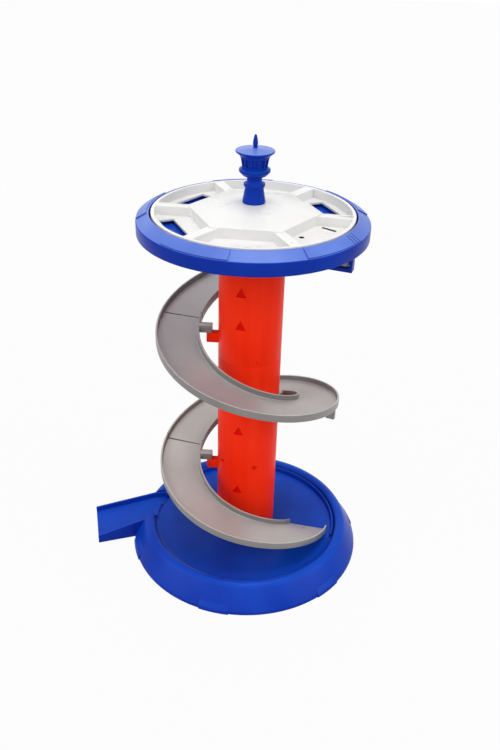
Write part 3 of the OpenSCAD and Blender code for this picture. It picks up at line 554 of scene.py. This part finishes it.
# Column: two half shells below and two above, with arrows, sunk shell screws and stubs for the lane
column = {
    "radius": 31.5, "wall": 2.5, "seam": -20.0, "seamGap": 0.18, "joint": 237.0, "head": 368.5,
    "lowerScrews": (116.0, 205.0), "upperScrews": (336.0,), "screwX": 18.0,
    "seatAt": 17.35, "seatRadius": 2.5, "holeRadius": 1.5, "pilot": 13.0, "bossRadius": 4.4, "capFace": 22.9,
    "lowerArrows": (87.0, 162.0, 196.0), "upperArrows": (282.0, 316.0),
    "arrowX": 1.6, "arrowWidth": 11.0, "arrowHeight": 10.0, "arrowDepth": 1.0, "arrowDraft": 0.06,
    "snapZ": 242.0, "snapRadius": 2.2, "snapFace": 24.95, "spigotRadius": 28.9, "spigotWall": 2.4,
    "stubRoot": 30.25, "stubEnd": 43.0, "stubWidth": 9.0, "stubHeight": 10.0,
}


# Stands a bmesh on the column's seam plane, so that its +Z points out of the front or the back
def onShell(bm, x, z, side):
    tip = Matrix.Rotation(radians(90 if side == "front" else -90), 4, "X")
    place = Matrix.Translation(Vector((x, 0, z)) * mm)
    spot = Matrix.Rotation(radians(column["seam"]), 4, "Z") @ place @ tip
    bmesh.ops.transform(bm, matrix=spot, verts=bm.verts[:])
    return bm


def halfTube(radius, wall, low, high, side):
    first = column["seam"] - (180 if side == "front" else 0)
    ring = ((radius - wall, low, 0.2), (radius, low, 0.35), (radius, high, 0.35), (radius - wall, high, 0.2))
    return eased(turned(ring, 90, first + column["seamGap"], first + 180 - column["seamGap"]), 0.3, 2, 60)


def arrowCutter(z):
    half, tall = column["arrowWidth"] / 2, column["arrowHeight"] / 2
    recess = column["radius"] - column["arrowDepth"]
    bm = bmesh.new()
    for level, grow in ((recess, 1 - column["arrowDraft"]), (recess + 3, 1 + 2 * column["arrowDraft"])):
        for x, y in ((-half, -tall), (half, -tall), (0, tall)):
            bm.verts.new(Vector((x * grow, y * grow, level)) * mm)
    bmesh.ops.convex_hull(bm, input=bm.verts[:])
    flanks = [edge for edge in bm.edges if abs(edge.verts[0].co.z - edge.verts[1].co.z) > 2 * mm and
              edge.calc_face_angle(0) > radians(30)]
    bmesh.ops.bevel(bm, geom=flanks, offset=0.5 * mm, segments=3, profile=0.5, affect="EDGES", material=-1)
    for face in bm.faces:
        face.material_index = 1
    return onShell(bm, column["arrowX"], z, "front")


# Boss inside a shell: the front one seats the screw's head under a cap, the back one holds its thread
def shellBoss(x, z, side):
    radius, reach = column["bossRadius"], column["seatAt"] + 1
    if side == "front":
        wide, narrow, cap = column["seatRadius"], column["holeRadius"], column["capFace"]
        section = ((narrow, 0.1, 0), (radius, 0.1, 0.2), (radius, reach, 0), (wide + 0.6, reach, 0),
                   (wide + 0.6, cap, 0), (0, cap, 0), (0, cap - 1.2, 0), (wide, cap - 1.2, 0),
                   (wide, column["seatAt"], 0), (narrow, column["seatAt"], 0))
    else:
        section = ((column["holeRadius"], 0.1, 0), (radius, 0.1, 0.2), (radius, reach, 0), (0, reach, 0),
                   (0, column["pilot"], 0), (column["holeRadius"], column["pilot"], 0))
    return onShell(turned(section, 32), x, z, side)


# Stub that carries a lane tab, with the socket for its pin
def laneStub(angle):
    top = laneHeight(angle) - lane["floor"] - support["slip"]
    low = (column["stubRoot"], -column["stubWidth"] / 2, top - column["stubHeight"])
    size = (column["stubEnd"] - column["stubRoot"], column["stubWidth"], column["stubHeight"])
    socket = upright(support["pinRadius"] + support["slip"], top - support["pinLength"] - 0.5, top + 2, 24)
    bmesh.ops.translate(socket, vec=outward(angle, support["pinAt"]), verts=socket.verts[:])
    return carved(roundedBox(low, size, 0.6, angle), socket)


def buildShell(level, side, low, high, screws, arrows, stub, snapHole, extras):
    spots = [(x, z) for z in screws for x in (-column["screwX"], column["screwX"])]
    shell = halfTube(column["radius"], column["wall"], low, high, side)
    if side == "front":
        cutters = [arrowCutter(z) for z in arrows]
        cutters += [onShell(upright(column["seatRadius"], 16, 40, 32), x, z, side) for x, z in spots]
        if snapHole:
            hole = upright(column["snapRadius"] + 0.1, 16, 40, 32)
            cutters.append(onShell(hole, column["screwX"], column["snapZ"], side))
        shell = carved(shell, joined(cutters))
    parts = [shell, laneStub(stub)] + [shellBoss(x, z, side) for x, z in spots] + extras
    name = "column" + level.title() + side.title()
    makePiece(name, parts, "frame", [redPlastic, arrowRed], [f"column_{level}_{side}"])


def buildColumn():
    low, joint, head = base["floor"], column["joint"], column["head"]
    snap = turned(((0, 20, 0), (column["snapRadius"], 20, 0), (column["snapRadius"], column["snapFace"], 0.4),
                   (0, column["snapFace"], 0)), 32)
    snap = onShell(snap, column["screwX"], column["snapZ"], "front")
    spigots = {side: halfTube(column["spigotRadius"], column["spigotWall"], joint - 6, joint + 18, side)
               for side in ("front", "back")}
    left, right = support["left"], support["right"]
    lowScrews, highScrews = column["lowerScrews"], column["upperScrews"]
    buildShell("lower", "front", low, joint, lowScrews, column["lowerArrows"], left + 360, False,
               [spigots["front"], snap])
    buildShell("lower", "back", low, joint, lowScrews, (), right + 360, False, [spigots["back"]])
    buildShell("upper", "front", joint, head, highScrews, column["upperArrows"], left, True, [])
    buildShell("upper", "back", joint, head, highScrews, (), right, False, [])


buildColumn()


# Deck: ring with an upright side and a bevel, raised panels on the bevel, floor, collar and bearing
deck = {
    "low": 365.3, "radius": 107.0, "side": 12.3, "bevel": 6.4, "wall": 2.5, "innerRadius": 94.8,
    "floor": 368.5, "panels": 5, "panelSpan": 36.0, "firstPanel": 313.25, "panelOut": 0.9, "panelMargin": 1.1,
    "gripLines": (2.2, 4.4, 6.6), "gripWidth": 0.7, "paintedSheenFrom": 0.2,
    "bearingRadius": 10.0, "boreRadius": 6.06, "bearingDrop": 8.5, "bearingRise": 5.5,
    "collarRadius": 31.6, "collarWall": 3.0, "collarDrop": 8.0, "padDrop": 2.0, "padIn": 2.7,
}


def buildDeck():
    low, radius, wall = deck["low"], deck["radius"], deck["wall"]
    inner, floor, bore = deck["innerRadius"], deck["floor"], deck["boreRadius"]
    bearing, collar = deck["bearingRadius"], deck["collarRadius"]
    sleeve = collar + deck["collarWall"]
    shoulder = low + deck["side"]
    top = shoulder + deck["bevel"]
    rise, drop = floor + deck["bearingRise"], floor - deck["bearingDrop"]
    pad, lip = floor - deck["padDrop"], floor - deck["collarDrop"]
    ring = turned((
        (radius - wall, low, 0.4), (radius, low, 0.6), (radius, shoulder, 1.0), (inner + 1, top, 0.5),
        (inner, top, 0.3), (inner, floor + wall, 0.6), (bearing, floor + wall, 0.3), (bearing, rise, 0.4),
        (bore, rise, 0.3), (bore, drop, 0.3), (bearing, drop, 0.4), (bearing, pad, 0),
        (collar - deck["padIn"], pad, 0.3), (collar - deck["padIn"], floor, 0), (collar, floor, 0),
        (collar, lip, 0.4), (sleeve, lip, 0.6), (sleeve, floor, 0.5), (inner + wall, floor, 0.5),
        (inner + wall, top - wall - 1.4, 0.5), (radius - wall, shoulder - 1.4, 0.5),
    ), 180)
    parts = [ring]
    run = Vector((inner + 1 - radius, deck["bevel"]))
    along = run.normalized()
    out = Vector((along.y, -along.x))
    foot = Vector((radius, shoulder)) + along * deck["panelMargin"]
    head = Vector((radius, shoulder)) + along * (run.length - deck["panelMargin"])
    lift = out * deck["panelOut"]
    for i in range(deck["panels"]):
        mid = deck["firstPanel"] + i * 360 / deck["panels"]
        section = ((*(foot - lift), 0), (*(foot + lift), 0.4), (*(head + lift), 0.4), (*(head - lift), 0))
        panel = turned(section, 24, mid - deck["panelSpan"] / 2, mid + deck["panelSpan"] / 2)
        if i == 0:
            for back in deck["gripLines"]:
                corner = (inner - 2, -deck["gripWidth"] / 2, shoulder - deck["bevel"])
                size = (radius - inner + 6, deck["gripWidth"], 3 * deck["bevel"])
                panel = carved(panel, roundedBox(corner, size, 0.1, mid + deck["panelSpan"] / 2 - back))
        parts.append(panel)
    ring = joined(parts)
    # Painted sheen: faces of the bevel and panels that look up take the paler blue
    for face in ring.faces:
        middle = face.calc_center_median() / mm
        raised = middle.z > shoulder + deck["paintedSheenFrom"] and face.normal.z > 0.3
        if raised and hypot(middle.x, middle.y) > inner:
            face.material_index = 1
    makePiece("deckRing", [ring], "frame", [bluePlastic, paintedSheenBlue], ["deck"])


buildDeck()

# Flap in the right front bay: the gap at its far end and the finger hole, their sides in a dark painted shade
flap = {
    "heading": 323.0, "gapFrom": 58.9, "width": 15.0, "gapEnd": 25.8, "gap": 3.2, "holeAt": 59.2,
    "holeSide": 8.3, "holeRadius": 2.4, "floor": 374.0,
}


def buildTray():
    gap = roundedBox((flap["gapFrom"], flap["gapEnd"] - flap["gap"], flap["floor"] - 4),
                     (flap["width"], flap["gap"], 8), 0.3, flap["heading"])
    hole = upright(flap["holeRadius"], flap["floor"] - 4, flap["floor"] + 4, 32)
    hole = placed(hole, (flap["holeAt"], -flap["holeSide"], 0), flap["heading"])
    # Painted shade: the cut faces of the gap and the hole take the near-black copy of the white
    cutter = joined([gap, hole])
    for face in cutter.faces:
        face.material_index = 1
    tray = carved(softened("tray", 0.4, 3), cutter)
    makePiece("turningTray", [tray], "carousel", [whitePlastic, recessShadeWhite], ["tray"])


buildTray()


# Control tower knob: stem with balcony, glazed cab with posts, saucer roof with a spire
tower = {
    "foot": 392.4, "stem": 31.4, "footRadius": 10.5, "shaftRadius": 6.0, "shaftFoot": 359.6,
    "neck": 8.2, "band": 9.7, "waist": 6.8, "balcony": 14.1, "lip": 12.2,
    "cab": 10.6, "cabFootRadius": 11.4, "cabTopRadius": 13.3, "sill": 1.6, "glassIn": 1.7,
    "posts": 12, "postWidth": 1.5, "postDepth": 2.6,
    "roof": 17.5, "roofHeight": 18.4, "eave": 4.7, "spire": 2.4,
}


def buildTower():
    z, top = tower["foot"], tower["foot"] + tower["stem"]
    shaft, shaftFoot, footRadius = tower["shaftRadius"], tower["shaftFoot"], tower["footRadius"]
    neck, band, waist = tower["neck"], tower["band"], tower["waist"]
    balcony, lip = tower["balcony"], tower["lip"]
    stem = turned((
        (0, shaftFoot, 0), (shaft, shaftFoot, 0.4), (shaft, z, 0), (footRadius, z, 0.3),
        (footRadius, z + 1.2, 0.4), (neck, top - 16.8, 0.3), (band, top - 16.4, 0.5), (band, top - 13.6, 0.5),
        (neck, top - 13.2, 0.2), (waist, top - 12, 0.4), (waist, top - 7.2, 0.4),
        (balcony - 3.4, top - 6.7, 0.4), (balcony, top - 3.2, 0.4), (balcony, top - 1, 0.4),
        (lip, top - 0.2, 0.1), (lip, top, 0.1), (0, top, 0),
    ), 72, segments=3)
    makePiece("towerStem", [stem], "carousel", [bluePlastic], ["tower_stem"])

    low, high = top, top + tower["cab"]
    foot, head, sill, glass = tower["cabFootRadius"], tower["cabTopRadius"], tower["sill"], tower["glassIn"]
    lean = (head - foot) / tower["cab"]
    lowSill, highSill = foot + sill * lean, head - sill * lean
    cab = [turned((
        (0, low, 0), (foot, low, 0.2), (lowSill, low + sill, 0.3), (lowSill - glass, low + sill, 0.2),
        (highSill - glass, high - sill, 0.2), (highSill, high - sill, 0.3), (head, high, 0.2), (0, high, 0),
    ), 72, segments=3)]
    for i in range(tower["posts"]):
        size = (tower["postDepth"], tower["postWidth"], tower["cab"] - sill)
        post = roundedBox((-tower["postDepth"], -tower["postWidth"] / 2, 0), size, 0.3)
        tilt = Matrix.Rotation(atan2(head - foot, tower["cab"]), 4, "Y")
        place = Matrix.Translation(Vector((foot, 0, low + sill / 2)) * mm)
        spot = Matrix.Rotation((i + 0.5) * tau / tower["posts"], 4, "Z")
        bmesh.ops.transform(post, matrix=spot @ place @ tilt, verts=post.verts[:])
        cab.append(post)
    makePiece("towerCab", cab, "carousel", [bluePlastic], ["tower_cab"])

    eave, spire, rim = high + tower["eave"], tower["spire"], tower["roof"]
    tip = high + tower["roofHeight"]
    roof = turned((
        (0, high, 0), (head + 0.4, high, 0.2), (head + 0.8, high + 0.9, 0.3), (rim, eave - 1.2, 0.4),
        (rim, eave, 0.3), (rim - 0.8, eave + 0.3, 0.3), (spire, eave + 2, 0.5),
        (spire * 0.7, eave + 2.9, 0.3), (spire * 0.8, eave + 4.0, 0.6), (spire, eave + 6.4, 1.2),
        (spire * 0.72, eave + 10.6, 1.6), (spire * 0.36, tip, 0.5), (0, tip, 0),
    ), 72, segments=3)
    # Painted sheen: upward faces of the roof just above the eave take the paler blue
    for face in roof.faces:
        middle = face.calc_center_median() / mm
        if eave < middle.z < eave + 2 and face.normal.z > 0.5:
            face.material_index = 1
    makePiece("towerRoof", [roof], "carousel", [bluePlastic, paintedSheenBlue], ["tower_roof"])


buildTower()


# Screws: round head with a cross recess on a threaded shank
screws = {
    "headRadius": 2.4, "headHeight": 2.2, "shank": 1.4, "bossAt": 25.5, "recess": 0.9, "slot": 0.55,
    "baseLength": 16.0, "deckLength": 16.5, "hangerLength": 9.5,
}
hanger = {"heading": -20.0, "screwsAt": (44.0, 88.1)}
pivot = {
    "washer": 1.4, "washerRadius": 9.0, "washerBore": 2.0,
    "length": 13.4, "headRadius": 3.6, "headHeight": 2.4, "shank": 1.9,
}


def screw(length, headRadius, headHeight, shank):
    bm = turned((
        (0, -length, 0), (shank * 0.35, -length, 0), (shank, -length + 1.4 * shank, 0), (shank, 0, 0),
        (headRadius - 0.1, 0, 0), (headRadius, 0.2, 0), (headRadius, headHeight * 0.45, 0.3),
        (headRadius * 0.62, headHeight, 0.5), (0, headHeight, 0),
    ), 32)
    for size in ((1.3 * headRadius, screws["slot"]), (screws["slot"], 1.3 * headRadius)):
        low = (-size[0] / 2, -size[1] / 2, headHeight - screws["recess"])
        bm = carved(bm, roundedBox(low, (*size, 2 * screws["recess"]), 0.1))
    return bm


def plainScrew(length):
    return screw(length, screws["headRadius"], screws["headHeight"], screws["shank"])


def buildScrews():
    heading, at = column["seam"], screws["bossAt"]
    deckTop = deck["floor"] + deck["wall"]
    shells = []
    for z in column["lowerScrews"] + column["upperScrews"]:
        for x in (-column["screwX"], column["screwX"]):
            made = plainScrew(column["seatAt"] + column["pilot"] - 0.3)
            shells.append(onShell(placed(made, (0, 0, column["seatAt"]), 17 * x + z), x, z, "front"))
    makePiece("columnScrews", shells, "frame", [steel], ["column_screws"])
    below = [placed(plainScrew(screws["baseLength"]), (0, side * at, base["floor"] - 2), heading, True)
             for side in (-1, 1)]
    makePiece("baseScrews", below, "frame", [steel], ["base_screws"])
    above = [placed(plainScrew(screws["deckLength"]), (0, side * at, deckTop), heading) for side in (-1, 1)]
    makePiece("deckScrews", above, "frame", [steel], ["deck_screws"])
    hung = [placed(plainScrew(screws["hangerLength"]), (radius, 0, deckTop), hanger["heading"])
            for radius in hanger["screwsAt"]]
    makePiece("hangerScrews", hung, "frame", [steel], ["hanger_screws"])
    end = screw(endScrew["length"], screws["headRadius"], endScrew["headHeight"], screws["shank"] - 0.1)
    end = placed(end, endScrewPlace() - zAxis * endScrew["sunk"])
    makePiece("laneEndScrew", [end], "frame", [steel], ["ramp_end_screw"])
    pivotFoot = tower["shaftFoot"] - pivot["washer"]
    pin = screw(pivot["length"], pivot["headRadius"], pivot["headHeight"], pivot["shank"])
    pin = placed(pin, (0, 0, pivotFoot), 0, True)
    makePiece("pivotScrew", [pin], "carousel", [steel], ["pivot_screw"])
    bore, rim, washerTop = pivot["washerBore"], pivot["washerRadius"], pivotFoot + pivot["washer"]
    washer = turned(((bore, pivotFoot, 0.1), (rim, pivotFoot, 0.3), (rim, washerTop, 0.3),
                     (bore, washerTop, 0.1)), 48)
    makePiece("pivotWasher", [washer], "carousel", [steel], ["pivot_washer"])


buildScrews()


# Mask of the rays that see the white studio itself: the camera's, and those that mirror or pass through
def seenMask(shade):
    path = shade.tree.nodes.new("ShaderNodeLightPath")
    camera, glossy, passing = (Shade(shade.tree, path.outputs[f"Is {kind} Ray"])
                               for kind in ("Camera", "Glossy", "Transmission"))
    return shade.math("MAXIMUM", shade.math("MAXIMUM", camera, glossy), passing)


# White studio: floor, world and soft lamps
def studioWhite(name, share, colour):
    material = bpy.data.materials.new(name)
    material.use_nodes = True
    tree = material.node_tree
    tree.nodes.remove(tree.nodes["Principled BSDF"])
    shade = Shade(tree)
    seen = seenMask(shade)
    matte = shade.node("ShaderNodeBsdfDiffuse", None, {"Color": colour})
    glow = shade.node("ShaderNodeEmission", None, {"Color": (1, 1, 1, 1), "Strength": 1.0})
    mixed = shade.node("ShaderNodeMixShader", None, {0: share * seen, 1: matte, 2: glow})
    mixed.feed(tree.nodes["Material Output"], "Surface")
    return material


def buildStudio():
    bm = bmesh.new()
    bmesh.ops.create_grid(bm, x_segments=2, y_segments=2, size=studio["floorSize"])
    bmesh.ops.translate(bm, vec=(0, 0, -studio["floorDrop"] * mm), verts=bm.verts[:])
    mesh = bpy.data.meshes.new("studioFloor")
    bm.to_mesh(mesh)
    bm.free()
    mesh.materials.append(studioWhite("studioFloor", studio["floorGlow"], studio["floorColour"]))
    floor = bpy.data.objects.new("studioFloor", mesh)
    scene.collection.objects.link(floor)

    world = bpy.data.worlds.new("studioWorld")
    scene.world = world
    world.use_nodes = True
    tree = world.node_tree
    shade = Shade(tree)
    seen = seenMask(shade)
    background = tree.nodes["Background"]
    background.inputs["Color"].default_value = (1, 1, 1, 1)
    (studio["ambient"] + (1 - studio["ambient"]) * seen).feed(background, "Strength")

    for name, lamp in studio["lamps"].items():
        light = bpy.data.lights.new(name, "SUN")
        light.angle = radians(lamp["spread"])
        light.energy = lamp["power"]
        made = bpy.data.objects.new(name, light)
        made.rotation_euler = (-Vector(lamp["side"])).to_track_quat("-Z", "Y").to_euler()
        scene.collection.objects.link(made)


# Each lamp stands a long way off on its side of the object and is as wide as a softbox
studio = {
    "ambient": 0.14, "floorSize": 6, "floorDrop": 0.2, "floorGlow": 0.95, "floorColour": (0.5, 0.5, 0.5, 1),
    "lamps": {
        "overheadLamp": {"side": (0.05, 0.0, 1.0), "spread": 36.0, "power": 1.75},
        "frontLamp": {"side": (-0.1, -1.0, 0.5), "spread": 70.0, "power": 1.05},
        "leftLamp": {"side": (-1.0, -0.45, 0.5), "spread": 50.0, "power": 1.2},
        "rightLamp": {"side": (1.0, -0.45, 0.5), "spread": 50.0, "power": 1.2},
        "backLamp": {"side": (-0.1, 1.0, 0.7), "spread": 60.0, "power": 0.4},
    },
}
buildStudio()

# Camera solved from the photograph: place in metres, angles in degrees, lens and sensor in millimetres
view = {
    "place": (0.0, -0.7006, 0.6263), "tilt": 59.33, "yaw": -0.08, "roll": 1.643,
    "lens": 38.39, "sensor": 36,
}


def buildCamera():
    camera = bpy.data.cameras.new("photoCamera")
    camera.lens = view["lens"]
    camera.sensor_width = view["sensor"]
    made = bpy.data.objects.new("photoCamera", camera)
    yaw, tilt, roll = (radians(view[key]) for key in ("yaw", "tilt", "roll"))
    aim = Matrix.Rotation(yaw, 4, "Z") @ Matrix.Rotation(tilt, 4, "X")
    made.matrix_world = Matrix.Translation(view["place"]) @ aim @ Matrix.Rotation(roll, 4, "Z")
    scene.collection.objects.link(made)
    scene.camera = made


buildCamera()
scene.view_settings.view_transform = "Standard"
print("scene ready")
